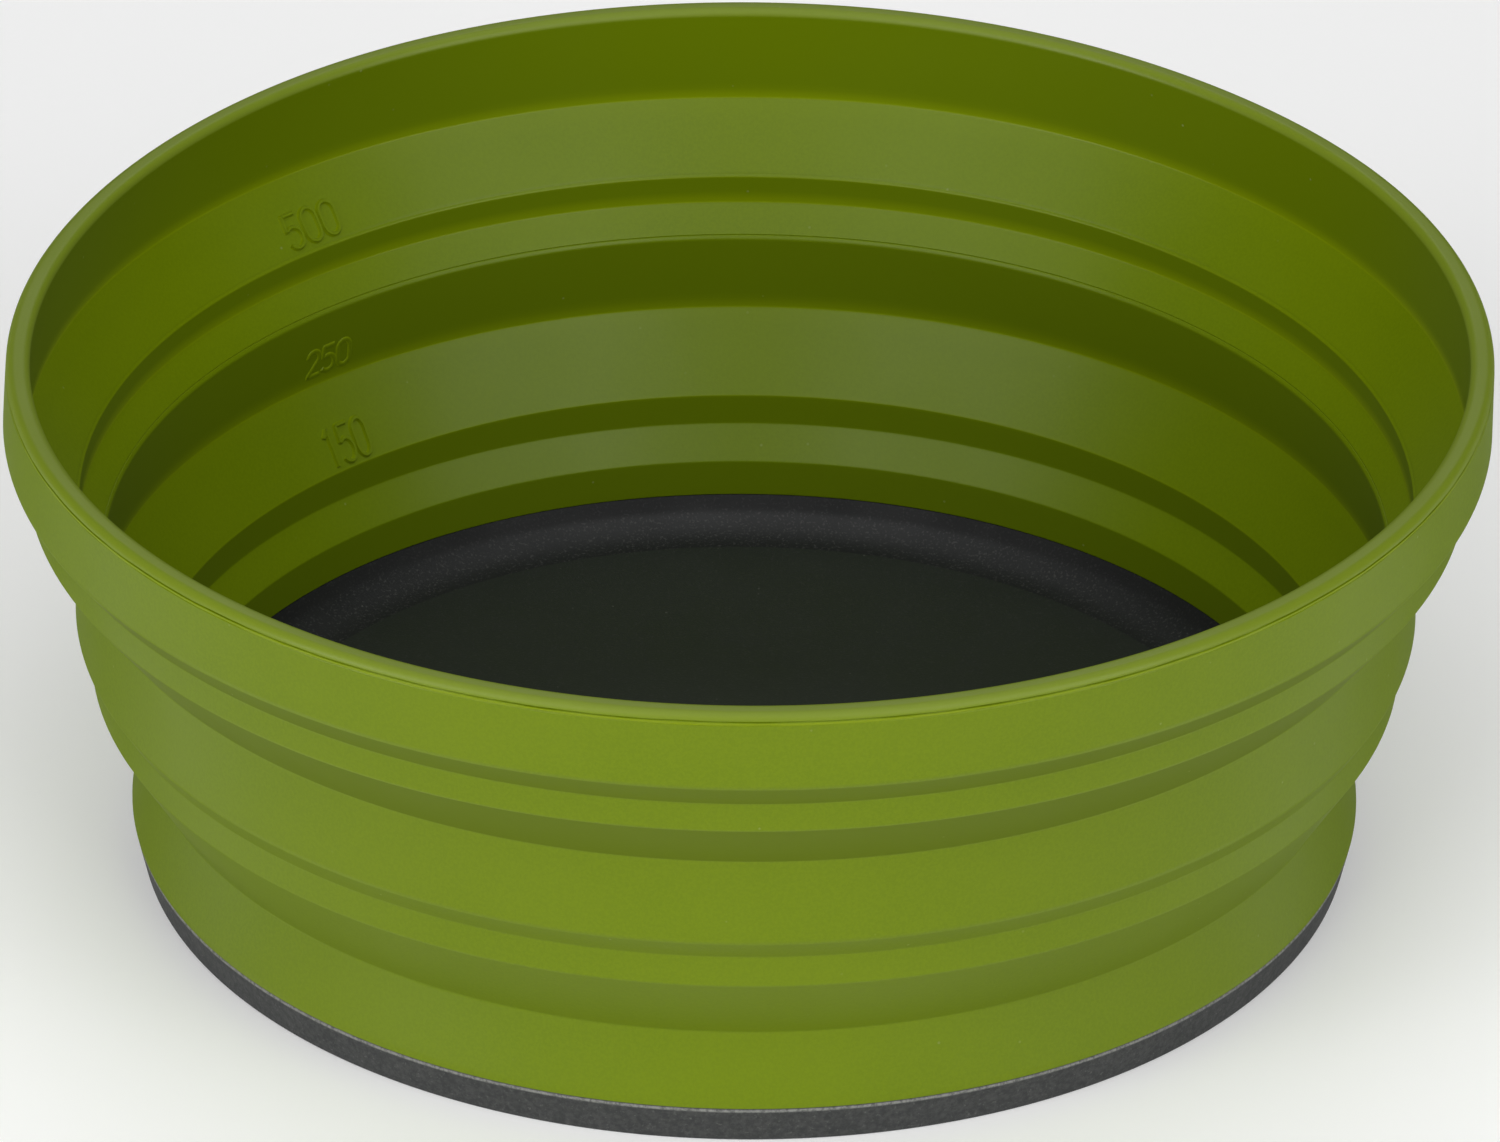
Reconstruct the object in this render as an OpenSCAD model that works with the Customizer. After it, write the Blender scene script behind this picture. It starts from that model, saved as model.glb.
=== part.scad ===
// Collapsible bowl: a soft moulded wall that folds flat in two steps, seated on a rigid base plate.
// The wall is one moulding. It is divided here at its fold lines into stiff bands, thin hinges
// and thick panels, which stack on flat ring faces. Its axis is Z, and it stands on Z = 0, open.

/* [Rim band] */
// Diameter over the rim
rim_d = 155; // [120:1:200]
// Height of the rim band's inner face
rim_h = 10.7; // [7:0.1:20]
// Wall thickness of the rim band
rim_wall = 2.5; // [2:0.1:3]
// Radius of the rim's top edges
rim_round = 0.9; // [0.4:0.1:0.9]
// Drop of the fine groove from the top of the rim
rim_groove_drop = 1.2; // [1.2:0.1:3]
// Width of the fine groove
rim_groove_w = 0.4; // [0.2:0.1:0.5]
// Depth of the fine groove
rim_groove_depth = 0.2; // [0.1:0.05:0.4]

/* [Upper fold] */
// Radial width of the upper fold, from the rim band's inner face to the middle band's
upper_fold_w = 7.5; // [6:0.1:12]
// Angle of the upper fold's slopes from the vertical
upper_angle = 38; // [34:1:44]
// Thickness of the upper fold's hinges
upper_hinge_t = 0.65; // [0.5:0.05:1]
// Height of the step that thickens the upper panel
upper_step_h = 3.1; // [2:0.1:3.6]
// Radial width of the slope outside the upper panel
upper_outer_ledge = 2.5; // [2:0.1:3]
// Radial width of the slope inside the upper panel
upper_inner_ledge = 2.1; // [1.6:0.1:2.6]

/* [Middle band] */
// Outward lean of the middle band from its top to its foot
middle_lean = 0.4; // [0:0.1:0.8]
// Wall thickness of the middle band
middle_wall = 2.3; // [2:0.1:2.6]
// Height of the middle band's inner face
middle_h = 9.3; // [5:0.1:16]

/* [Lower fold] */
// Radial width of the lower fold, from the middle band's inner face to the foot band's
lower_fold_w = 7.4; // [6:0.1:12]
// Angle of the lower fold's slopes from the vertical
lower_angle = 32; // [30:1:38]
// Thickness of the lower fold's hinges
lower_hinge_t = 0.95; // [0.6:0.05:1.1]
// Height of the step that thickens the lower panel
lower_step_h = 3.4; // [2.4:0.1:3.8]
// Radial width of the slope outside the lower panel
lower_outer_ledge = 1.6; // [1.4:0.1:1.9]
// Radial width of the slope inside the lower panel
lower_inner_ledge = 2.25; // [1.9:0.05:2.6]

/* [Foot band] */
// Wall thickness at the top of the foot band
foot_wall = 2.6; // [2.3:0.1:2.8]
// Outward flare of the foot band from its top to its foot
foot_flare = 1.4; // [1:0.1:1.6]
// Height of the foot band's inner corner above the ground
foot_top = 10.2; // [9.5:0.1:11.5]
// Thickness of the tongue that the base plate holds
tongue_t = 1.6; // [1.2:0.1:1.7]
// Width of the shoulder that rests on the base plate's lip
tongue_shoulder = 1.1; // [0.9:0.1:1.3]

/* [Base plate] */
// Height of the base plate's outer ring
ring_h = 4.3; // [4:0.1:5]
// Amount by which the outer ring stands proud of the foot band
ring_proud = 0.2; // [0:0.1:0.4]
// Inward draft of the outer ring from its top to the ground
ring_draft = 1; // [0.5:0.1:1.5]
// Height of the inner lip above the ground
lip_h = 6.1; // [5.8:0.1:6.8]
// Height of the floor's upper face above the ground
floor_h = 2.9; // [2.5:0.1:3.4]
// Radius of the hollow curve between the floor and the lip
lip_round = 5; // [4.4:0.1:7]
// Depth of the recess under the floor
recess_depth = 0.9; // [0.5:0.1:1]
// Width of the ring that the bowl stands on
foot_ring_w = 5; // [3:0.5:7]
// Height of the groove's floor above the ground
groove_floor = 2.7; // [2.4:0.1:3]

/* [Corners] */
// Radius of the outer corners of the bands
band_round = 1.2; // [0.4:0.1:1.4]
// Radius of the corners of the panels
panel_round = 0.6; // [0.2:0.1:0.7]
// Radius of the corners where a slope meets a band
fold_round = 0.5; // [0.2:0.1:0.6]
// Radius of the base plate's edges
edge_round = 0.4; // [0.1:0.1:0.5]

/* [Hidden] */
$fn = 180;

// Steps of each rounded corner
corner_steps = 4;
// Steps of the hollow curve between the floor and the lip
lip_steps = 10;
// Play on each side of the tongue in its groove
tongue_play = 0.1;
// Step of the foot band's face outside the lip
lip_reveal = 0.1;

silicone_green = [0.47, 0.54, 0.15];
nylon_grey = [0.27, 0.28, 0.27];

rim_r = rim_d / 2;
rim_in_r = rim_r - rim_wall;
middle_top_r = rim_in_r - upper_fold_w;
middle_foot_r = middle_top_r + middle_lean;
foot_r = middle_foot_r - lower_fold_w;
upper_rise = 1 / tan(upper_angle);
lower_rise = 1 / tan(lower_angle);
upper_hinge_drop = upper_hinge_t / sin(upper_angle);
lower_hinge_drop = lower_hinge_t / sin(lower_angle);

// Heights of the inner corners, from the foot band up
middle_foot_z = foot_top + lower_fold_w * lower_rise + lower_step_h;
middle_top_z = middle_foot_z + middle_h;
rim_foot_z = middle_top_z + upper_fold_w * upper_rise + upper_step_h;
bowl_h = rim_foot_z + rim_h;

// Inner corners of the folds, as [radius, height]
upper_in_low = [middle_top_r + upper_inner_ledge, middle_top_z + upper_inner_ledge * upper_rise];
upper_in_high = upper_in_low + [0, upper_step_h];
lower_in_low = [foot_r + lower_inner_ledge, foot_top + lower_inner_ledge * lower_rise];
lower_in_high = lower_in_low + [0, lower_step_h];

// Outer corners, on slopes that lie one hinge thickness below the inner ones
function upper_slope_z(r) = rim_foot_z + (r - rim_in_r) * upper_rise - upper_hinge_drop;
function lower_slope_z(r) = middle_foot_z + (r - middle_foot_r) * lower_rise - lower_hinge_drop;
upper_out_r = rim_r - upper_outer_ledge;
lower_out_r = middle_foot_r + middle_wall - lower_outer_ledge;
rim_corner = [rim_r, upper_slope_z(rim_r)];
upper_out_high = [upper_out_r, upper_slope_z(upper_out_r)];
upper_out_low = upper_out_high - [0, upper_step_h];
middle_shoulder = [middle_top_r + middle_wall,
                   upper_slope_z(middle_top_r + middle_wall) - upper_step_h];
middle_corner = [middle_foot_r + middle_wall, lower_slope_z(middle_foot_r + middle_wall)];
lower_out_high = [lower_out_r, lower_slope_z(lower_out_r)];
lower_out_low = lower_out_high - [0, lower_step_h];
foot_shoulder = [foot_r + foot_wall, lower_slope_z(foot_r + foot_wall) - lower_step_h];
foot_corner_r = foot_r + foot_wall + foot_flare;

// Radii of the tongue and of the groove that holds it
tongue_in_r = foot_r + tongue_shoulder;
tongue_out_r = tongue_in_r + tongue_t;
groove_in_r = tongue_in_r - tongue_play;
groove_out_r = tongue_out_r + tongue_play;
lip_r = foot_r - lip_reveal;
ring_r = foot_corner_r + ring_proud;
ring_foot_r = ring_r - ring_draft;
recess_r = ring_foot_r - foot_ring_w;
lip_reach = sqrt(pow(lip_round, 2) - pow(lip_round - (lip_h - floor_h), 2));
lip_centre = [lip_r - lip_reach, floor_h + lip_round];
lip_sweep = asin(lip_reach / lip_round);

function unit(v) = v / norm(v);
// Points of a round of radius r at corner p, between the points a and b of an outline
function rounded(a, p, b, r) =
  let (u = unit(a - p), v = unit(b - p), half = acos(u * v) / 2)
  let (c = p + unit(u + v) * r / sin(half), s = p + u * r / tan(half) - c, e = p + v * r / tan(half) - c)
  let (from = atan2(s[1], s[0]), turn = atan2(s[0] * e[1] - s[1] * e[0], s * e))
  [for (i = [0 : corner_steps]) c + r * [cos(from + turn * i / corner_steps),
                                         sin(from + turn * i / corner_steps)]];
// Outline through corners given as [[radius, height], round]
function outline(corners) =
  let (n = len(corners))
  [for (i = [0 : n - 1])
     let (a = corners[(i + n - 1) % n][0], p = corners[i][0], b = corners[(i + 1) % n][0])
     each (corners[i][1] > 0 ? rounded(a, p, b, corners[i][1]) : [p])];

// Half section of the whole wall, down its outside and up its inside
module wall_section() {
  groove_z = bowl_h - rim_groove_drop;
  polygon(outline([
    [[rim_r, bowl_h], rim_round],
    [[rim_r, groove_z + rim_groove_w / 2], 0],
    [[rim_r - rim_groove_depth, groove_z], 0],
    [[rim_r, groove_z - rim_groove_w / 2], 0],
    [rim_corner, band_round],
    [upper_out_high, fold_round],
    [upper_out_low, panel_round],
    [middle_shoulder, fold_round],
    [middle_corner, band_round],
    [lower_out_high, fold_round],
    [lower_out_low, panel_round],
    [foot_shoulder, fold_round],
    [[foot_corner_r, ring_h], 0],
    [[tongue_out_r, ring_h], 0],
    [[tongue_out_r, groove_floor], 0],
    [[tongue_in_r, groove_floor], 0],
    [[tongue_in_r, lip_h], 0],
    [[foot_r, lip_h], 0],
    [[foot_r, foot_top], fold_round],
    [lower_in_low, panel_round],
    [lower_in_high, fold_round],
    [[middle_foot_r, middle_foot_z], fold_round],
    [[middle_top_r, middle_top_z], fold_round],
    [upper_in_low, panel_round],
    [upper_in_high, fold_round],
    [[rim_in_r, rim_foot_z], fold_round],
    [[rim_in_r, bowl_h], rim_round]
  ]));
}

// Ring of the wall between two heights
module wall_ring(low, high) {
  rotate_extrude()
    intersection() {
      wall_section();
      polygon([[0, low], [rim_d, low], [rim_d, high], [0, high]]);
    }
}

module base_plate() {
  color(nylon_grey)
    rotate_extrude()
      polygon(concat(
        [[0, recess_depth], [recess_r, recess_depth], [recess_r, 0]],
        rounded([0, 0], [ring_foot_r, 0], [ring_r, ring_h], edge_round),
        rounded([ring_foot_r, 0], [ring_r, ring_h], [groove_out_r, ring_h], edge_round),
        [[groove_out_r, ring_h], [groove_out_r, groove_floor]],
        [[groove_in_r, groove_floor], [groove_in_r, lip_h]],
        [for (i = [lip_steps : -1 : 0]) lip_centre + lip_round * [sin(lip_sweep * i / lip_steps),
                                                                  -cos(lip_sweep * i / lip_steps)]],
        [[0, floor_h]]
      ));
}

module foot_band() {
  color(silicone_green)
    wall_ring(0, foot_shoulder[1]);
}

module lower_inner_hinge() {
  color(silicone_green)
    wall_ring(foot_shoulder[1], lower_in_low[1]);
}

module lower_panel() {
  color(silicone_green)
    wall_ring(lower_in_low[1], lower_out_high[1]);
}

module lower_outer_hinge() {
  color(silicone_green)
    wall_ring(lower_out_high[1], middle_foot_z);
}

module middle_band() {
  color(silicone_green)
    wall_ring(middle_foot_z, middle_shoulder[1]);
}

module upper_inner_hinge() {
  color(silicone_green)
    wall_ring(middle_shoulder[1], upper_in_low[1]);
}

module upper_panel() {
  color(silicone_green)
    wall_ring(upper_in_low[1], upper_out_high[1]);
}

module upper_outer_hinge() {
  color(silicone_green)
    wall_ring(upper_out_high[1], rim_foot_z);
}

module rim_band() {
  color(silicone_green)
    wall_ring(rim_foot_z, bowl_h);
}

base_plate();
foot_band();
lower_inner_hinge();
lower_panel();
lower_outer_hinge();
middle_band();
upper_inner_hinge();
upper_panel();
upper_outer_hinge();
rim_band();
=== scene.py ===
import bpy
import numpy as np
from mathutils import Matrix, Vector


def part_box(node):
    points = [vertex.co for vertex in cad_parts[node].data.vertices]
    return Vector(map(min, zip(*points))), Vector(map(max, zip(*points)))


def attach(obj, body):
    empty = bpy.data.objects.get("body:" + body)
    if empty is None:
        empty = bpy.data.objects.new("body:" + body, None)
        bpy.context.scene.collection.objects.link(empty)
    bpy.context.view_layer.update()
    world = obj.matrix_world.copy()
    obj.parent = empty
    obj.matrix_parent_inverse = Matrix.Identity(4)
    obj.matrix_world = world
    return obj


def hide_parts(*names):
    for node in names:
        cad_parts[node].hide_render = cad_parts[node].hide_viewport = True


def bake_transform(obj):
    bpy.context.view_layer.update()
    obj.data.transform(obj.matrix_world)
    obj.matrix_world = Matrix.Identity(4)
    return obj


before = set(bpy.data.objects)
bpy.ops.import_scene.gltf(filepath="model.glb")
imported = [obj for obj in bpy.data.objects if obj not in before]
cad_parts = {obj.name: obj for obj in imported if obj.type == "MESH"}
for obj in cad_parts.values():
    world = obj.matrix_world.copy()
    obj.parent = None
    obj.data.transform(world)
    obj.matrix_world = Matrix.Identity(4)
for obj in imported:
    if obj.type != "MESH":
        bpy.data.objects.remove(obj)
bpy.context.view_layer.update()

# Base plate
# One moulding in dark grey glass-filled nylon: a flat floor that sweeps up to an inner lip, and an
# outer ring with a worn top edge that has a painted highlight. The groove between them holds the
# silicone wall's tongue.
mm = 0.001
base_low, base_high = (np.array(corner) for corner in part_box("base_plate"))
ring_r = np.abs([base_low[:2], base_high[:2]]).min()
lip_top = base_high[2]
ring_top = 4.3 * mm
ring_draft = 1 * mm
ring_round = 0.35 * mm
floor_top = 2.9 * mm
floor_sweep = 7 * mm
recess = 0.9 * mm
recess_r = 58.7 * mm
recess_round = 0.3 * mm
groove_bottom = 2.7 * mm
groove_in_r = 61.5 * mm
groove_out_r = 63.3 * mm
lip_r = 60.4 * mm
arris = 0.12 * mm
base_step = 1.5 * mm
sweep_rise = lip_top - floor_top
sweep_reach = np.sqrt(floor_sweep**2 - (floor_sweep - sweep_rise) ** 2)
sweep_start_r = lip_r - sweep_reach

# Two points closer than this are one, and every ring has this many points round the axis.
same_point = 1e-7
facets = 512
round_angle = np.linspace(0, 2 * np.pi, facets, endpoint=False)


def rounded_line(corners, steps=12):
    """An open line through corners, each a place and a round, with an arc at each inner corner.

    With u and v the unit directions from a corner to its neighbours, and h half the angle between
    them, the arc's centre lies on u + v at round / sin h, and the arc touches the sides at
    round / tan h. Between those two points it turns about the centre at an even rate.
    """
    places = np.array([place for place, _ in corners], float)
    rounds = np.array([radius for _, radius in corners[1:-1]], float)[:, None]
    corner = places[1:-1]
    u = places[:-2] - corner
    v = places[2:] - corner
    u /= np.linalg.norm(u, axis=1, keepdims=True)
    v /= np.linalg.norm(v, axis=1, keepdims=True)
    half = np.arccos(np.clip(np.sum(u * v, axis=1, keepdims=True), -1, 1)) / 2
    middle = u + v
    centre = corner + middle / np.linalg.norm(middle, axis=1, keepdims=True) * rounds / np.sin(half)
    start = corner + u * rounds / np.tan(half) - centre
    end = corner + v * rounds / np.tan(half) - centre
    turn = (np.pi - 2 * half)[:, None]
    share = np.linspace(0, 1, steps + 1)[None, :, None]
    from_start = np.sin((1 - share) * turn) * start[:, None]
    from_end = np.sin(share * turn) * end[:, None]
    arcs = centre[:, None] + (from_start + from_end) / np.sin(turn)
    points = np.vstack([places[:1], arcs.reshape(-1, 2), places[-1:]])
    apart = np.linalg.norm(np.diff(points, axis=0), axis=1) > same_point
    return points[np.r_[True, apart]]


def evenly(points, step):
    """The same line with more points: every corner is kept, and one is added at each step along it.

    A point that lies less than a hundredth of a step beyond the one before is left out.
    """
    along = np.r_[0, np.cumsum(np.linalg.norm(np.diff(points, axis=0), axis=1))]
    dense = np.union1d(along, np.arange(0, along[-1], step))
    dense = dense[np.r_[True, np.diff(dense) > step / 100]]
    return np.column_stack([np.interp(dense, along, points[:, axis]) for axis in (0, 1)])


def smooth_piece(name, points, faces, sharp):
    """A smoothly shaded mesh. An edge whose faces turn by more than sharp degrees stays sharp."""
    mesh = bpy.data.meshes.new(name)
    mesh.from_pydata(points.tolist(), [], faces)
    mesh.polygons.foreach_set("use_smooth", np.ones(len(mesh.polygons), bool))
    mesh.set_sharp_from_angle(angle=np.radians(sharp))
    piece = bpy.data.objects.new(name, mesh)
    bpy.context.collection.objects.link(piece)
    return piece


def turned(name, radius, height, closed):
    """A mesh swept round the Z axis: the point at angle a is (r cos a, r sin a, z).

    radius and height are arrays with one row for each point of the outline and one column for each
    angle, or a single column for all angles. A closed outline joins its last row to its first. An
    open one starts and ends on the axis, where one vertex and a fan of triangles close the pole.
    """
    rows = slice(None) if closed else slice(1, -1)
    r = np.broadcast_to(radius[rows], (len(radius[rows]), facets))
    z = np.broadcast_to(height[rows], r.shape)
    grid = np.stack([r * np.cos(round_angle), r * np.sin(round_angle), z], axis=-1).reshape(-1, 3)
    row = np.arange(len(r))
    low = (row if closed else row[:-1])[:, None] * facets
    high = (np.roll(row, -1) if closed else row[1:])[:, None] * facets
    here = np.arange(facets)
    ahead = np.roll(here, -1)
    quads = np.stack([low + here, low + ahead, high + ahead, high + here], axis=-1)
    faces = quads.reshape(-1, 4).tolist()
    if not closed:
        bottom, top = len(grid), len(grid) + 1
        grid = np.vstack([grid, [(0, 0, height[0, 0]), (0, 0, height[-1, 0])]])
        last = row[-1] * facets
        faces += np.stack([ahead, here, np.full(facets, bottom)], axis=-1).tolist()
        faces += np.stack([last + here, last + ahead, np.full(facets, top)], axis=-1).tolist()
    return smooth_piece(name, grid, faces, sharp=35)


base_corners = [
    ((0, recess), 0),
    ((recess_r, recess), recess_round),
    ((recess_r, 0), recess_round),
    ((ring_r - ring_draft, 0), ring_round),
    ((ring_r, ring_top), ring_round),
    ((groove_out_r, ring_top), arris),
    ((groove_out_r, groove_bottom), arris),
    ((groove_in_r, groove_bottom), arris),
    ((groove_in_r, lip_top), arris),
    ((lip_r, lip_top), arris),
]
# The sweep is an arc that leaves the floor level: at angle t it lies floor_sweep * sin t further
# out and floor_sweep * (1 - cos t) higher than where it starts.
sweep_angle = np.linspace(np.arcsin(sweep_reach / floor_sweep), 0, 25)
sweep_out = sweep_start_r + floor_sweep * np.sin(sweep_angle)
sweep_up = floor_top + floor_sweep * (1 - np.cos(sweep_angle))
sweep_points = np.column_stack([sweep_out, sweep_up])
base_edge = rounded_line(base_corners + [(sweep_points[1], 0)], steps=8)
base_line = evenly(np.vstack([base_edge, sweep_points[2:], [(0, floor_top)]]), base_step)
base_plate = turned("base_plate_nylon", base_line[:, :1], base_line[:, 1:], closed=False)


def new_material(name, base_color, roughness):
    """A material with a Principled shader, and a Texture Coordinate node for its patterns."""
    material = bpy.data.materials.new(name)
    material.use_nodes = True
    nodes, links = material.node_tree.nodes, material.node_tree.links
    shader = nodes["Principled BSDF"]
    shader.inputs["Base Color"].default_value = base_color
    shader.inputs["Roughness"].default_value = roughness
    place = nodes.new("ShaderNodeTexCoord").outputs["Object"]
    return material, nodes, links, shader, place


def noise(nodes, links, place, scale, detail=3, roughness=0.5):
    """A noise texture on the object's own place, with its scale in features per metre."""
    texture = nodes.new("ShaderNodeTexNoise")
    texture.inputs["Scale"].default_value = scale
    texture.inputs["Detail"].default_value = detail
    texture.inputs["Roughness"].default_value = roughness
    links.new(place, texture.inputs["Vector"])
    return texture.outputs["Fac"]


def between(nodes, links, value, low, high, to_low=0.0, to_high=1.0):
    """A value carried smoothly from low..high onto to_low..to_high, and held beyond the ends."""
    reach = nodes.new("ShaderNodeMapRange")
    reach.interpolation_type = "SMOOTHSTEP"
    reach.inputs["From Min"].default_value = low
    reach.inputs["From Max"].default_value = high
    reach.inputs["To Min"].default_value = to_low
    reach.inputs["To Max"].default_value = to_high
    links.new(value, reach.inputs["Value"])
    return reach.outputs["Result"]


def maths(nodes, links, operation, *values):
    """One step of arithmetic on values, each a socket or a number."""
    step = nodes.new("ShaderNodeMath")
    step.operation = operation
    for socket, value in zip(step.inputs, values):
        if isinstance(value, (int, float)):
            socket.default_value = value
        else:
            links.new(value, socket)
    return step.outputs["Value"]


def tinted(nodes, links, under, over, share):
    """A colour laid over another by a share. Each colour is a socket or four numbers."""
    mix = nodes.new("ShaderNodeMix")
    mix.data_type = "RGBA"
    # The names of a Mix node's sockets repeat, so its two colours and its result go by number.
    lower, upper, result = mix.inputs[6], mix.inputs[7], mix.outputs[2]
    links.new(share, mix.inputs["Factor"])
    for socket, colour in ((lower, under), (upper, over)):
        if isinstance(colour, tuple):
            socket.default_value = colour
        else:
            links.new(colour, socket)
    return result


def grained(nodes, links, shader, height, strength, depth):
    """A fine grain in the skin: a noise for its height, times a depth in metres."""
    bump = nodes.new("ShaderNodeBump")
    bump.inputs["Strength"].default_value = strength
    bump.inputs["Distance"].default_value = depth
    links.new(height, bump.inputs["Height"])
    links.new(bump.outputs["Normal"], shader.inputs["Normal"])


def specks_group():
    """Dust and lint: a mask of small soft dots in a few cells of a fine grid.

    A cell's own random colour says whether it has a dot, by its red, and how strong it is, by its
    green. Rarity is the share of cells without one. A dot fades with the distance from its middle.
    """
    dot_core, dot_edge = 0.04, 0.12
    group = bpy.data.node_groups.new("Dust specks", "ShaderNodeTree")
    for name, kind in (("Place", "Vector"), ("Cells per metre", "Float"), ("Rarity", "Float")):
        group.interface.new_socket(name, in_out="INPUT", socket_type="NodeSocket" + kind)
    group.interface.new_socket("Mask", in_out="OUTPUT", socket_type="NodeSocketFloat")
    nodes, links = group.nodes, group.links
    given = nodes.new("NodeGroupInput")
    result = nodes.new("NodeGroupOutput")
    cells = nodes.new("ShaderNodeTexVoronoi")
    links.new(given.outputs["Place"], cells.inputs["Vector"])
    links.new(given.outputs["Cells per metre"], cells.inputs["Scale"])
    split = nodes.new("ShaderNodeSeparateColor")
    links.new(cells.outputs["Color"], split.inputs["Color"])
    chosen = maths(nodes, links, "GREATER_THAN", split.outputs["Red"], given.outputs["Rarity"])
    dot = between(nodes, links, cells.outputs["Distance"], dot_core, dot_edge, 1.0, 0.0)
    strength = maths(nodes, links, "MULTIPLY", dot, split.outputs["Green"])
    links.new(maths(nodes, links, "MULTIPLY", chosen, strength), result.inputs["Mask"])
    return group


dust_specks = specks_group()


def dusted(nodes, links, place, cells, rarity):
    """The mask of dust specks, placed in a material."""
    node = nodes.new("ShaderNodeGroup")
    node.node_tree = dust_specks
    node.inputs["Cells per metre"].default_value = cells
    node.inputs["Rarity"].default_value = rarity
    links.new(place, node.inputs["Place"])
    return node.outputs["Mask"]


def rougher_aslant(nodes, links, rough, most):
    """A roughness that rises by up to most where the skin is seen aslant.

    A fine bloom scatters the light that grazes it. Facing goes from 0, seen straight on, to 1.
    """
    slant = nodes.new("ShaderNodeLayerWeight")
    slant.inputs["Blend"].default_value = 0.5
    rise = between(nodes, links, slant.outputs["Facing"], 0.4, 0.8, 0.0, most)
    return maths(nodes, links, "ADD", rough, rise)


def nylon():
    """Glass-filled nylon: dark inside the bowl, scuffed grey on the ring, worn at its top edge.

    Painted shade darkens the lip, and a painted highlight lies with the wear on the ring's top edge.
    Each colour is laid over those before it by a share, which follows the distance from the axis,
    the height or a noise.
    """
    dark = (0.013, 0.015, 0.014, 1)
    floor_skin = (0.0138, 0.0172, 0.0138, 1)
    sweep_skin = (0.0085, 0.0093, 0.0101, 1)
    lip_painted_shade = (0.003, 0.0034, 0.004, 1)
    glass = (0.045, 0.045, 0.044, 1)
    ring_skin = (0.0235, 0.0255, 0.0255, 1)
    scuff_grey = (0.046, 0.047, 0.046, 1)
    scratch_grey = (0.15, 0.15, 0.14, 1)
    wear_and_painted_highlight = (0.21, 0.21, 0.195, 1)
    dust_grey = (0.2, 0.2, 0.18, 1)
    material, nodes, links, shader, place = new_material("Glass-filled nylon", dark, 0.5)
    shader.inputs["IOR"].default_value = 1.5
    shader.inputs["Specular IOR Level"].default_value = 0.33
    split = nodes.new("ShaderNodeSeparateXYZ")
    links.new(place, split.inputs["Vector"])
    height = split.outputs["Z"]
    flat = nodes.new("ShaderNodeCombineXYZ")
    links.new(split.outputs["X"], flat.inputs["X"])
    links.new(split.outputs["Y"], flat.inputs["Y"])
    across = nodes.new("ShaderNodeVectorMath")
    across.operation = "LENGTH"
    links.new(flat.outputs["Vector"], across.inputs[0])
    from_axis = across.outputs["Value"]
    outside = between(nodes, links, from_axis, groove_in_r, groove_out_r)
    # The sweep up to the lip keeps a coarser skin than the floor, with more of the glass showing.
    sweep = between(nodes, links, from_axis, sweep_start_r - 0.1 * mm, sweep_start_r + 0.1 * mm)
    fleck = between(nodes, links, noise(nodes, links, place, 3600, detail=2), 0.54, 0.72)
    fleck = maths(nodes, links, "MULTIPLY", fleck, between(nodes, links, sweep, 0, 1, 0.25, 0.7))
    colour = tinted(nodes, links, floor_skin, sweep_skin, sweep)
    # Painted shade: the nylon darkens towards the lip, where its flecks are fainter too.
    lip = between(nodes, links, from_axis, lip_r - 1.7 * mm, lip_r - 0.7 * mm)
    fleck = maths(nodes, links, "MULTIPLY", fleck, between(nodes, links, lip, 0, 1, 1.0, 0.35))
    colour = tinted(nodes, links, colour, lip_painted_shade, lip)
    colour = tinted(nodes, links, colour, glass, fleck)
    rubs = noise(nodes, links, place, 1500, detail=5, roughness=0.75)
    scuff = between(nodes, links, rubs, 0.36, 0.66)
    scuffed = tinted(nodes, links, ring_skin, scuff_grey, scuff)
    nicks = noise(nodes, links, place, 2400, roughness=0.7)
    scratch = between(nodes, links, nicks, 0.58, 0.72, 0.0, 0.35)
    scuffed = tinted(nodes, links, scuffed, scratch_grey, scratch)
    colour = tinted(nodes, links, colour, scuffed, outside)
    # The wear and a painted highlight lie on the round of the ring's top edge, just under the top
    # face.
    outward = between(nodes, links, from_axis, ring_r - 0.3 * mm, ring_r - 0.2 * mm)
    upward = between(nodes, links, height, ring_top - 0.55 * mm, ring_top - 0.3 * mm)
    below = between(nodes, links, height, ring_top - 0.2 * mm, ring_top - 0.06 * mm, 1.0, 0.0)
    knocks = noise(nodes, links, place, 2200, detail=4, roughness=0.75)
    chips = between(nodes, links, knocks, 0.34, 0.6, 0.3, 1.0)
    edge = maths(nodes, links, "MULTIPLY", maths(nodes, links, "MULTIPLY", outward, upward), below)
    colour = tinted(nodes, links, colour, wear_and_painted_highlight, maths(nodes, links, "MULTIPLY", edge, chips))
    dust = maths(nodes, links, "MULTIPLY", dusted(nodes, links, place, 700, 0.86), 0.3)
    colour = tinted(nodes, links, colour, dust_grey, dust)
    links.new(colour, shader.inputs["Base Color"])
    rough = between(nodes, links, noise(nodes, links, place, 140), 0.3, 0.7, 0.47, 0.54)
    rough = maths(nodes, links, "ADD", rough, between(nodes, links, lip, 0, 1, 0.0, 0.15))
    links.new(rougher_aslant(nodes, links, rough, 0.08), shader.inputs["Roughness"])
    grain = noise(nodes, links, place, 3800, roughness=0.6)
    grained(nodes, links, shader, grain, strength=0.5, depth=0.00004)
    return material


nylon_finish = nylon()
base_plate.data.materials.append(nylon_finish)
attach(base_plate, "base")
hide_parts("base_plate")

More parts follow.
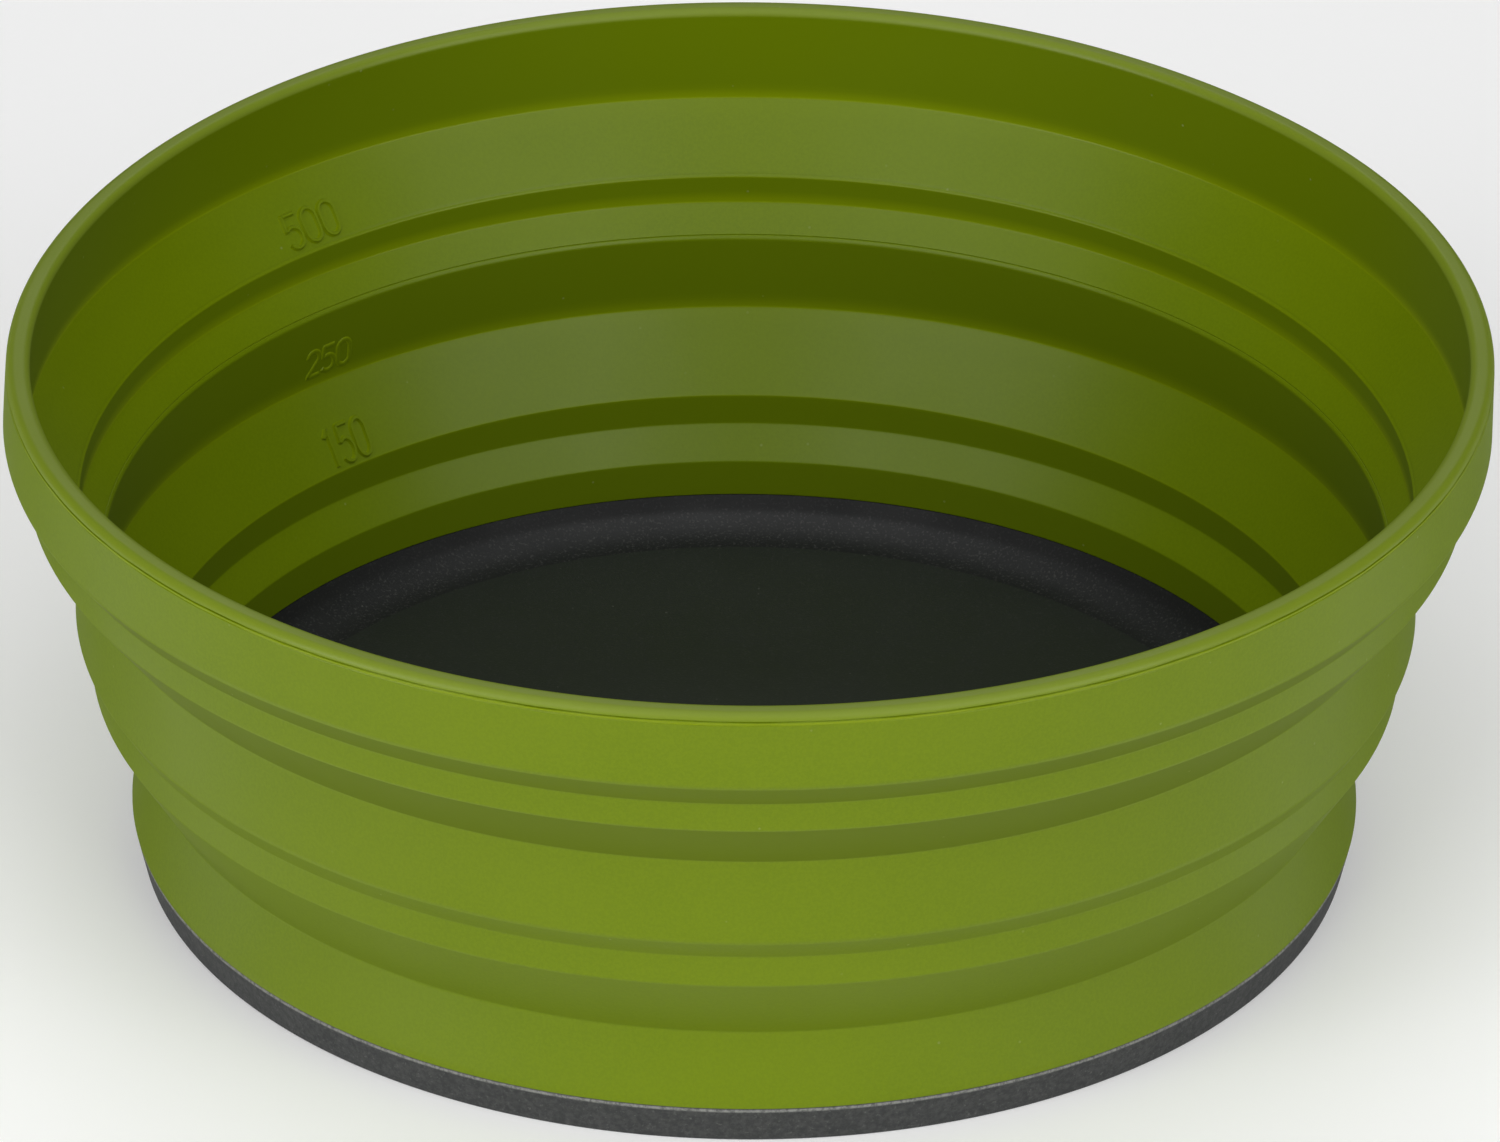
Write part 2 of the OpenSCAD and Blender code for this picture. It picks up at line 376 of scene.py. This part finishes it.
# Silicone wall
# One compression moulding in olive-green silicone with a fine matt skin: three stiff upright bands,
# joined by two folds. In each fold a thick sloping panel hangs between two thin hinges. The tongue
# at its foot stands in the base plate's groove.
rim_low, rim_high = (np.array(corner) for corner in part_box("rim_band"))
rim_r = np.abs([rim_low[:2], rim_high[:2]]).min()
rim_top = rim_high[2]
rim_wall = 2.5 * mm
rim_round = 0.9 * mm
rim_foot_z = rim_low[2]
upper_fold_w = 7.5 * mm
upper_slope = np.radians(38)
upper_lean = np.tan(upper_slope)
upper_hinge_t = 0.65 * mm
upper_hinge_drop = upper_hinge_t / np.sin(upper_slope)
upper_step = 3.1 * mm
upper_outer_ledge = 2.5 * mm
upper_inner_ledge = 2.1 * mm
middle_lean = 0.4 * mm
middle_wall = 2.3 * mm
middle_foot_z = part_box("middle_band")[0][2]
lower_fold_w = 7.4 * mm
lower_slope = np.radians(32)
lower_lean = np.tan(lower_slope)
lower_hinge_t = 0.95 * mm
lower_hinge_drop = lower_hinge_t / np.sin(lower_slope)
lower_step = 3.4 * mm
lower_outer_ledge = 1.6 * mm
lower_inner_ledge = 2.25 * mm
foot_wall = 2.6 * mm
foot_flare = 1.4 * mm
foot_top = 10.2 * mm
foot_bead = 0.1 * mm
foot_bead_h = 0.45 * mm
tongue_t = 1.6 * mm
tongue_shoulder = 1.1 * mm
tongue_round = 0.2 * mm
tongue_root_round = 0.1 * mm
band_round = 1.2 * mm
panel_round = 0.6 * mm
panel_edge = 0.35 * mm
fold_round = 0.5 * mm
shoulder_drop = 0.55 * mm
shoulder_round = 0.6 * mm
parting_z = rim_top - 1.1 * mm
seam_w = 0.18 * mm
seam_round = 0.02 * mm
shoulder_seam_rise = 0.5 * mm
shoulder_seam_depth = 0.08 * mm
panel_seam_rise = 0.32 * mm
panel_seam_depth = shoulder_seam_depth / 3

rim_in_r = rim_r - rim_wall
middle_top_r = rim_in_r - upper_fold_w
middle_top_z = rim_foot_z - upper_fold_w / upper_lean - upper_step
middle_foot_r = middle_top_r + middle_lean
foot_r = middle_foot_r - lower_fold_w
foot_corner_r = foot_r + foot_wall + foot_flare
tongue_in_r = foot_r + tongue_shoulder
tongue_out_r = tongue_in_r + tongue_t
lower_panel_foot_r = foot_r + lower_inner_ledge
lower_ledge_z = foot_top + lower_inner_ledge / lower_lean
lower_panel_foot = (lower_panel_foot_r, lower_ledge_z + lower_step)
middle_foot = (middle_foot_r, middle_foot_z)
middle_top = (middle_top_r - shoulder_drop * upper_lean, middle_top_z - shoulder_drop)
upper_panel_foot_r = middle_top_r + upper_inner_ledge
upper_ledge_z = middle_top_z + upper_inner_ledge / upper_lean
upper_panel_foot = (upper_panel_foot_r, upper_ledge_z + upper_step)
rim_foot = (rim_in_r, rim_foot_z)


def on_upper_slope(radius, below=0.0):
    """Outer corner on the upper fold's slope, one hinge thickness under its inner face."""
    return radius, rim_foot_z + (radius - rim_in_r) / upper_lean - upper_hinge_drop - below


def on_lower_slope(radius, below=0.0):
    """Outer corner on the lower fold's slope, one hinge thickness under its inner face."""
    return radius, middle_foot_z + (radius - middle_foot_r) / lower_lean - lower_hinge_drop - below


def seam(foot, top, rise, depth):
    """Corners of a fine V groove across a sloping inner face, at a rise up the slope from its foot.

    Its edges lie half a width to each side on the face, and its bottom a depth square to the face.
    """
    foot, top = np.array(foot), np.array(top)
    along = (top - foot) / np.linalg.norm(top - foot)
    into_wall = np.array([along[1], -along[0]])
    cut = ((rise - seam_w / 2, 0), (rise, depth), (rise + seam_w / 2, 0))
    return [(tuple(foot + along * far + into_wall * deep), seam_round) for far, deep in cut]


outer_corners = [
    ((tongue_in_r, groove_bottom), 0),
    ((tongue_out_r, groove_bottom), tongue_round),
    ((tongue_out_r, ring_top), tongue_root_round),
    ((foot_corner_r + foot_bead, ring_top), arris),
    ((foot_corner_r + foot_bead, ring_top + foot_bead_h), arris),
    (on_lower_slope(foot_r + foot_wall, lower_step), fold_round),
    (on_lower_slope(middle_foot_r + middle_wall - lower_outer_ledge, lower_step), panel_round),
    (on_lower_slope(middle_foot_r + middle_wall - lower_outer_ledge), fold_round),
    (on_lower_slope(middle_foot_r + middle_wall), band_round),
    (on_upper_slope(middle_top_r + middle_wall, upper_step), fold_round),
    (on_upper_slope(rim_r - upper_outer_ledge, upper_step), panel_round),
    (on_upper_slope(rim_r - upper_outer_ledge), fold_round),
    (on_upper_slope(rim_r), band_round),
    ((rim_r, rim_top), rim_round),
    ((rim_r - rim_wall / 2, rim_top), 0),
]
inner_corners = [
    ((tongue_in_r, groove_bottom), 0),
    ((tongue_in_r, lip_top), tongue_root_round),
    ((foot_r, lip_top), arris),
    ((foot_r, foot_top), fold_round),
    ((lower_panel_foot_r, lower_ledge_z), fold_round),
    (lower_panel_foot, panel_edge),
    (middle_foot, fold_round),
    (middle_top, shoulder_round),
    *seam(middle_top, rim_foot, shoulder_seam_rise, shoulder_seam_depth),
    ((upper_panel_foot_r, upper_ledge_z), fold_round),
    (upper_panel_foot, panel_edge),
    *seam(upper_panel_foot, rim_foot, panel_seam_rise, panel_seam_depth),
    (rim_foot, fold_round),
    ((rim_in_r, rim_top), rim_round),
    ((rim_r - rim_wall / 2, rim_top), 0),
]
outer_face = rounded_line(outer_corners)
inner_face = rounded_line(inner_corners)

# Two heights closer than this are one.
same_height = 1e-6


def stretch(face, low, high, step, fine):
    """The part of a face between two heights, cut straight across, with points a step apart.

    It has a point at each of the fine heights too.
    """
    height = face[:, 1]
    added = np.r_[low, high, fine]
    added = added[(added > height[0] + same_height) & (added < height[-1] - same_height)]
    added = np.column_stack([np.interp(added, height, face[:, 0]), added])
    kept = face[(height > low - same_height) & (height < high + same_height)]
    kept = np.vstack([kept, added])
    kept = kept[np.argsort(kept[:, 1], kind="stable")]
    apart = np.linalg.norm(np.diff(kept, axis=0), axis=1) > same_point
    return evenly(kept[np.r_[True, apart]], step)


def nearest(points, others):
    """The distance from each point to the nearest of the others."""
    return np.min(np.linalg.norm(points[:, None] - np.array(others)[None], axis=2), axis=1)


def wall_outline(low, high, step, fine):
    """Closed outline of the wall between two heights: up its outer face, and down its inner face.

    Two shares of painted glow follow it, from 0 to 1 at each point. The first is how thin the wall
    is on its inner face, from the least distance to the outer face. The second is how near the point
    is to an edge where a glow is painted: a panel's sharp inner edge, or the thread along the parting
    line. Both fall in a straight line as the distance grows.
    """
    outer = stretch(outer_face, low, high, step, fine)
    inner = stretch(inner_face, low, high, step, fine)
    joined = np.linalg.norm(outer[-1] - inner[-1]) < same_point
    closed_foot = np.linalg.norm(outer[0] - inner[0]) < same_point
    kept = slice(int(closed_foot), len(inner) - int(joined))
    inner = inner[kept][::-1]
    wall_t = nearest(inner, evenly(outer_face, 0.2 * mm))
    in_upper_fold = inner[:, 1] > middle_top[1]
    glow_top = rim_foot_z + 3 * mm
    glowing = (inner[:, 1] > lower_panel_foot[1]) & (inner[:, 1] < glow_top)
    opaque_t = np.where(in_upper_fold, 1.5, 1.85) * mm
    fade_t = 0.85 * mm
    fold_glow = np.where(in_upper_fold, 1, 0.8)
    thin = np.clip((opaque_t - wall_t) / fade_t, 0, 1) * glowing * fold_glow
    edge_reach = 0.12 * mm
    thread_glow, panel_glow = 0.9, 0.36
    from_thread = np.abs(outer[:, 1] - parting_z + edge_reach / 2) / edge_reach
    thread = thread_glow * np.clip(1.5 - from_thread, 0, 1)
    from_edge = nearest(inner, [lower_panel_foot, upper_panel_foot]) / edge_reach
    edge = panel_glow * np.clip(1.3 - from_edge, 0, 1)
    return np.vstack([outer, inner]), np.r_[np.zeros(len(outer)), thin], np.r_[thread, edge]


def lean_in(angle, height):
    """How far the soft wall leans in at an angle and a height, in two places at the back of the rim.

    Round the axis each is a bell curve, a reach times exp(-(d / width) squared), with d the degrees
    from its middle. With s the share of the way from a start up to the rim, the left one grows as
    s to the power 1.5, from the rim band's foot, and the right one as s s (3 - 2 s), from lower.
    """
    degrees = np.degrees(angle)
    left_reach, left_middle, left_width, left_start = 1.3 * mm, 154, 34, 45 * mm
    right_reach, right_middle, right_width, right_start = 0.4 * mm, 50, 18, 30 * mm
    left = left_reach * np.exp(-(((degrees - left_middle) / left_width) ** 2))
    right = right_reach * np.exp(-(((degrees - right_middle) / right_width) ** 2))
    left_share = np.clip((height - left_start) / (rim_top - left_start), 0, 1)
    right_share = np.clip((height - right_start) / (rim_top - right_start), 0, 1)
    return left * left_share**1.5 + right * right_share**2 * (3 - 2 * right_share)


def silicone():
    """Olive silicone: faint clouds and grain, a matt skin, dust, and a yellower glow at thin places.

    The yellower glow is painted light: it stands for light come through the wall where it is thin,
    most on upright faces, and at edges. The round of the rim has a painted highlight, and upright
    faces inside and faces that look well down have painted shade. Each colour is laid over those
    before it by a share.
    """
    olive = (0.116, 0.171, 0.0003, 1)
    clouded = (0.123, 0.178, 0.001, 1)
    grainy = (0.140, 0.200, 0.001, 1)
    inner_painted_shade = (0.110, 0.160, 0.0, 1)
    painted_glow = (0.178, 0.240, 0.0, 1)
    rim_painted_highlight = (0.156, 0.210, 0.017, 1)
    under_painted_shade = (0.098, 0.138, 0.0, 1)
    dust_pale = (0.42, 0.45, 0.26, 1)
    material, nodes, links, shader, place = new_material("Olive silicone", olive, 0.36)
    shader.inputs["IOR"].default_value = 1.41
    shader.inputs["Specular IOR Level"].default_value = 0.27
    cloud = between(nodes, links, noise(nodes, links, place, 55), 0.3, 0.7)
    colour = tinted(nodes, links, olive, clouded, cloud)
    grain = between(nodes, links, noise(nodes, links, place, 2600, roughness=0.7), 0.35, 0.65)
    colour = tinted(nodes, links, colour, grainy, maths(nodes, links, "MULTIPLY", grain, 0.55))
    # Painted glow: the thin share, on upright faces, and the edge share lay a yellower colour where
    # light would come through the wall.
    thin = nodes.new("ShaderNodeAttribute")
    thin.attribute_name = "thin"
    facing = nodes.new("ShaderNodeNewGeometry").outputs["Normal"]
    normal = nodes.new("ShaderNodeSeparateXYZ")
    links.new(facing, normal.inputs["Vector"])
    level = maths(nodes, links, "ABSOLUTE", normal.outputs["Z"])
    upright = between(nodes, links, level, 0.15, 0.6, 1.0, 0.1)
    edge = nodes.new("ShaderNodeAttribute")
    edge.attribute_name = "edge"
    shown = maths(nodes, links, "MULTIPLY", thin.outputs["Fac"], upright)
    glow = maths(nodes, links, "MAXIMUM", shown, edge.outputs["Fac"])
    # Painted shade: the upright faces that look inwards are darker and less blue, as if less light
    # reached them. A face looks inwards where its normal's product with its place is below nothing.
    turn = nodes.new("ShaderNodeVectorMath")
    turn.operation = "DOT_PRODUCT"
    links.new(facing, turn.inputs[0])
    links.new(place, turn.inputs[1])
    inwards = between(nodes, links, turn.outputs["Value"], -0.03, -0.01, 1.0, 0.0)
    inside = maths(nodes, links, "MULTIPLY", inwards, upright)
    colour = tinted(nodes, links, colour, inner_painted_shade, inside)
    colour = tinted(nodes, links, colour, painted_glow, glow)
    # Painted highlight: the round of the rim is paler, as if lit more.
    split = nodes.new("ShaderNodeSeparateXYZ")
    links.new(place, split.inputs["Vector"])
    height = split.outputs["Z"]
    rim_highlight_share = between(nodes, links, height, rim_top - 0.95 * mm, rim_top - 0.6 * mm, 0.0, 0.8)
    colour = tinted(nodes, links, colour, rim_painted_highlight, rim_highlight_share)
    # Painted shade: faces that look well down are darker, as if less light reached them from below.
    under = between(nodes, links, normal.outputs["Z"], -0.62, -0.45, 0.9, 0.0)
    colour = tinted(nodes, links, colour, under_painted_shade, under)
    dust = maths(nodes, links, "MULTIPLY", dusted(nodes, links, place, 600, 0.92), 0.22)
    colour = tinted(nodes, links, colour, dust_pale, dust)
    links.new(colour, shader.inputs["Base Color"])
    rough = between(nodes, links, noise(nodes, links, place, 70), 0.3, 0.7, 0.33, 0.39)
    links.new(rougher_aslant(nodes, links, rough, 0.42), shader.inputs["Roughness"])
    matt = noise(nodes, links, place, 2400, roughness=0.6)
    grained(nodes, links, shader, matt, strength=0.35, depth=0.00003)
    return material


silicone_finish = silicone()


def finish_in_silicone(piece, **shares):
    """The silicone finish on a piece, with a share at each of its points for each attribute."""
    for attribute, values in shares.items():
        layer = piece.data.attributes.new(attribute, "FLOAT", "POINT")
        layer.data.foreach_set("value", values.astype(np.float32))
    piece.data.materials.append(silicone_finish)


def wall_piece(name, low, high, step=0.6 * mm, fine=(), shape=None):
    """A ring of the wall between two heights, with its thin parts and edges as attributes.

    shape, where it is given, moves the grid of radii and heights at each angle.
    """
    outline, thin, edge = wall_outline(low, high, step, fine)
    radius, height = outline[:, :1], outline[:, 1:]
    if shape:
        radius, height = shape(radius, height)
    piece = turned(name, radius - lean_in(round_angle, height), height, closed=True)
    finish_in_silicone(piece, thin=np.repeat(thin, facets), edge=np.repeat(edge, facets))
    return piece


# Foot band
# The stiff band that stands in the base plate's groove. A fine bead runs round its foot, where the
# mould closed on the plate's ring.
foot_low, foot_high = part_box("foot_band")
foot_band = wall_piece("foot_band_silicone", foot_low[2], foot_high[2])
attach(foot_band, "base")
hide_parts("foot_band")

# Lower fold
# A thick panel between two thin hinges. It rolls over as the middle band is pushed down round the
# foot band.
fold_step = 0.3 * mm
lower_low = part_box("lower_inner_hinge")[0][2]
lower_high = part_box("lower_outer_hinge")[1][2]
lower_fold = wall_piece("lower_fold_silicone", lower_low, lower_high, fold_step)
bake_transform(lower_fold)
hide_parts("lower_inner_hinge", "lower_panel", "lower_outer_hinge")

# Middle band
# The stiff band between the folds. It leans out a little towards its foot, as the mould's draft
# asks.
middle_low, middle_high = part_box("middle_band")
middle_band = wall_piece("middle_band_silicone", middle_low[2], middle_high[2])
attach(middle_band, "middle")
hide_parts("middle_band")

# Upper fold
# A thick panel between two thin hinges, as in the lower fold.
upper_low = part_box("upper_inner_hinge")[0][2]
upper_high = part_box("upper_outer_hinge")[1][2]
upper_fold = wall_piece("upper_fold_silicone", upper_low, upper_high, fold_step)
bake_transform(upper_fold)
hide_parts("upper_inner_hinge", "upper_panel", "upper_outer_hinge")

# Rim band
# The stiff top band with a rounded rim. The mould's parting line runs round its outside just under
# the rim: a fine thread between two fine grooves, a little uneven in height and depth.
groove_apart = 0.17 * mm
groove_w = 0.22 * mm
groove_depth = 0.19 * mm
groove_wander = 0.07 * mm
lower_groove_share = 0.33
groove_rows_reach = 0.4 * mm
groove_row_step = 0.035 * mm


def uneven(waves, seed):
    """Smooth unevenness round a ring, from -1 to 1: a sum of sines with whole numbers of waves."""
    phase = np.random.default_rng(seed).uniform(0, 2 * np.pi, len(waves))
    return np.mean(np.sin(np.outer(round_angle, waves) + phase), axis=1)


def parting_line(radius, height):
    """The two grooves: a point near one moves inwards by its depth times a share.

    The share is one on the groove's middle, and falls in a straight line to nothing at its edges.
    The lower groove is a third as deep as the upper one.
    """
    middle = parting_z + groove_wander * uneven((7, 16, 29, 47, 83), seed=3)
    depth = groove_depth * (0.85 + 0.5 * uneven((11, 23, 41, 67), seed=8))
    near = np.clip(1 - np.abs(np.abs(height - middle) - groove_apart) / (groove_w / 2), 0, 1)
    near = near * np.where(height > middle, 1, lower_groove_share)
    outside = radius > rim_r - 0.1 * mm
    return radius - depth * near * outside, np.broadcast_to(height, near.shape)


groove_rows = np.arange(parting_z - groove_rows_reach, parting_z + groove_rows_reach, groove_row_step)
rim_band = wall_piece("rim_band_silicone", rim_low[2], rim_top, fine=groove_rows, shape=parting_line)
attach(rim_band, "rim")
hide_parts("rim_band")

# Volume marks
# Raised numbers on the wall's inner face, cut into the mould with a fine tool, so each stroke is a
# low flat-topped ridge. They stand left of the middle of the far side.
stroke_half = np.array([-0.34, -0.28, -0.12, 0.12, 0.28, 0.34]) * mm
stroke_rise = np.array([-0.06, 0.06, 0.34, 0.34, 0.06, -0.06]) * mm
# stroke_glow is the share of painted glow at each point across a stroke, most on its sides.
stroke_glow = np.array([0.9, 0.9, 0.1, 0.1, 0.9, 0.9])
stroke_step = 0.09 * mm
stroke_end = 0.12 * mm
digit_pitch = 1.24


def arc(centre, reach, start, end, steps=24):
    """Points of an oval arc about a centre, between two angles in degrees."""
    angle = np.radians(np.linspace(start, end, steps))
    across = centre[0] + reach[0] * np.cos(angle)
    up = centre[1] + reach[1] * np.sin(angle)
    return np.column_stack([across, up])


# Each digit is one stroke in a box that is 1 wide and 1 high.
digit_strokes = {
    "0": np.vstack([arc((0.5, 0.7), (0.48, 0.3), 0, 180), arc((0.5, 0.3), (0.48, 0.3), 180, 360)]),
    "1": np.array([(0.2, 0.8), (0.55, 1.0), (0.55, 0.0)]),
    "2": np.vstack([arc((0.5, 0.72), (0.48, 0.28), 170, -25), [(0.0, 0.0), (1.0, 0.0)]]),
    "5": np.vstack(
        [[(0.95, 1.0), (0.12, 1.0), (0.06, 0.56)], arc((0.46, 0.31), (0.52, 0.31), 125, -145)]
    ),
}


def number_mark(name, number, foot, top, bearing, width, height, relief=1.0):
    """A number on the wall's inner face, which runs straight from foot to top, each (radius, height).

    Its middle lies at a bearing in degrees to the left of the far side. A point of a digit goes
    round the wall with its width and up the face with its height, from the foot. The ridge's outline
    lies across the stroke's path, in the face's normal and the direction square to it, and relief
    lowers it.
    """
    foot, top = np.array(foot), np.array(top)
    up_face = (top - foot) / np.linalg.norm(top - foot)
    inward = np.array([-up_face[1], up_face[0]])
    points, faces, shares, count = [], [], [], 0
    for place, digit in enumerate(number):
        ring = digit == "0"
        path = digit_strokes[digit] * (width, height)
        path = evenly(np.vstack([path, path[:1]]) if ring else path, stroke_step)
        path = path[:-1] if ring else path
        along = path[:, 0] + (place - len(number) / 2) * width * digit_pitch
        r = foot[0] + path[:, 1] * up_face[0]
        z = foot[1] + path[:, 1] * up_face[1]
        a = np.pi / 2 + np.radians(bearing) - along / foot[0]
        out = np.column_stack([np.cos(a), np.sin(a), np.zeros(len(a))])
        centre = out * (r - lean_in(a, z))[:, None]
        centre[:, 2] = z
        normal = out * inward[0] + np.array([0, 0, inward[1]])
        if ring:
            tangent = np.roll(centre, -1, axis=0) - np.roll(centre, 1, axis=0)
        else:
            tangent = np.gradient(centre, axis=0)
        tangent /= np.linalg.norm(tangent, axis=1, keepdims=True)
        sideways = np.cross(tangent, normal)[:, None] * stroke_half[:, None]
        raised = normal[:, None] * stroke_rise[:, None] * relief
        tube = (centre[:, None] + (sideways + raised)).reshape(-1, 3)
        n, k = len(path), len(stroke_half)
        low = np.arange(n if ring else n - 1)[:, None] * k
        high = (low + k) % (n * k)
        here = np.arange(k)
        ahead = np.roll(here, -1)
        quads = np.stack([low + here, high + here, high + ahead, low + ahead], axis=-1)
        faces += (quads.reshape(-1, 4) + count).tolist()
        share = np.tile(stroke_glow, n)
        if not ring:
            ends = [centre[0] - tangent[0] * stroke_end, centre[-1] + tangent[-1] * stroke_end]
            tube = np.vstack([tube, ends])
            share = np.r_[share, 1.0, 1.0]
            first, last = n * k, n * k + 1
            faces += (np.stack([here, ahead, np.full(k, first)], axis=-1) + count).tolist()
            here, ahead = here + (n - 1) * k, ahead + (n - 1) * k
            faces += (np.stack([ahead, here, np.full(k, last)], axis=-1) + count).tolist()
        points.append(tube)
        shares.append(share)
        count += len(tube)
    mark = smooth_piece(name, np.vstack(points), faces, sharp=30)
    finish_in_silicone(mark, edge=np.concatenate(shares))
    return mark


def up_the_face(foot, top, rise):
    """The point of a face that lies a rise above its foot."""
    share = rise / (top[1] - foot[1])
    return foot[0] + share * (top[0] - foot[0]), foot[1] + rise


foot_500 = up_the_face(upper_panel_foot, rim_foot, rise=0.8 * mm)
mark_500 = number_mark(
    "mark_500", "500", foot_500, rim_foot, bearing=41.15, width=1.97 * mm, height=3.75 * mm
)
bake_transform(mark_500)
foot_250 = up_the_face(middle_foot, middle_top, rise=1.35 * mm)
mark_250 = number_mark(
    "mark_250", "250", foot_250, middle_top, bearing=41.8, width=1.72 * mm, height=3.1 * mm, relief=0.3
)
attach(mark_250, "middle")
foot_150 = up_the_face(lower_panel_foot, middle_foot, rise=0.55 * mm)
mark_150 = number_mark(
    "mark_150", "150", foot_150, middle_foot, bearing=42.3, width=1.65 * mm, height=4.2 * mm
)
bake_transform(mark_150)

# Floor
# A plain matt white floor that the bowl stands on, no part of it. It reaches so far that no edge of
# it shows, and gives off a little light of its own, so that it looks pale to its far end.
floor_r = 4.0
floor_corners = [(x * floor_r, y * floor_r, 0) for x, y in ((-1, -1), (1, -1), (1, 1), (-1, 1))]
floor_mesh = bpy.data.meshes.new("studio_floor")
floor_mesh.from_pydata(floor_corners, [], [(0, 1, 2, 3)])
floor = bpy.data.objects.new("studio_floor", floor_mesh)
bpy.context.collection.objects.link(floor)
floor_finish, _, _, floor_shader, _ = new_material("White floor", (0.82, 0.82, 0.82, 1), 0.9)
floor_shader.inputs["Specular IOR Level"].default_value = 0.0
floor_shader.inputs["Emission Color"].default_value = (1, 1, 1, 1)
floor_shader.inputs["Emission Strength"].default_value = 0.2
floor_mesh.materials.append(floor_finish)

# Studio light
# A dark room with soft boxes 2 m from the bowl: two at the front with a broad dim one high between
# them, a low one at each side, a broad one overhead and one behind.
room = bpy.data.worlds.new("Dark room")
room.use_nodes = True
room.node_tree.nodes["Background"].inputs["Strength"].default_value = 0.0
bpy.context.scene.world = room
bowl_middle = Vector((0, 0, 0.03))
soft_box_reach = 2.0


def soft_box(name, bearing, elevation, size, power):
    """A square soft light that faces the bowl.

    Its bearing is in degrees to the right of the camera, its size in metres and its power in watts.
    """
    light = bpy.data.lights.new(name, "AREA")
    light.shape = "SQUARE"
    light.size = size
    light.energy = power
    box = bpy.data.objects.new(name, light)
    turn, rise = np.radians(bearing), np.radians(elevation)
    toward = Vector((np.sin(turn) * np.cos(rise), -np.cos(turn) * np.cos(rise), np.sin(rise)))
    facing = (-toward).to_track_quat("-Z", "Y").to_matrix().to_4x4()
    box.matrix_world = Matrix.Translation(bowl_middle + soft_box_reach * toward) @ facing
    bpy.context.collection.objects.link(box)


soft_box("front_left", bearing=-40, elevation=26, size=1.6, power=19.8)
soft_box("front_right", bearing=40, elevation=26, size=1.6, power=20.3)
soft_box("front_high", bearing=0, elevation=48, size=1.8, power=7.2)
soft_box("low_left", bearing=-58, elevation=5, size=0.6, power=10.0)
soft_box("low_right", bearing=58, elevation=5, size=0.6, power=4.2)
soft_box("overhead", bearing=0, elevation=88, size=2.0, power=17.2)
soft_box("behind", bearing=180, elevation=35, size=1.0, power=4.2)

# Camera
# A long lens at the photograph's angle, 1.5 m from the bowl, turned by about half a degree as the
# photograph is. The lens is shifted because the bowl isn't quite in the middle of the frame.
camera_reach = 1.5
camera_elevation = np.radians(29.49)
camera_roll = np.radians(0.42)
aim_height = 30.7 * mm
photo_w = 1500
photo_centre_x = 745.9
focal_px = 14325.0
sensor_w = 36.0

lens = bpy.data.cameras.new("photo_lens")
lens.sensor_fit = "HORIZONTAL"
lens.sensor_width = sensor_w
lens.lens = focal_px / photo_w * sensor_w
lens.shift_x = (photo_w / 2 - photo_centre_x) / photo_w
lens.clip_start = 0.05
lens.clip_end = 50
camera = bpy.data.objects.new("photo_camera", lens)
camera_y = -camera_reach * np.cos(camera_elevation)
camera_z = aim_height + camera_reach * np.sin(camera_elevation)
camera.matrix_world = (
    Matrix.Translation((0, camera_y, camera_z))
    @ Matrix.Rotation(np.pi / 2 - camera_elevation, 4, "X")
    @ Matrix.Rotation(camera_roll, 4, "Z")
)
bpy.context.collection.objects.link(camera)
bpy.context.scene.camera = camera
bpy.context.scene.view_settings.view_transform = "Standard"
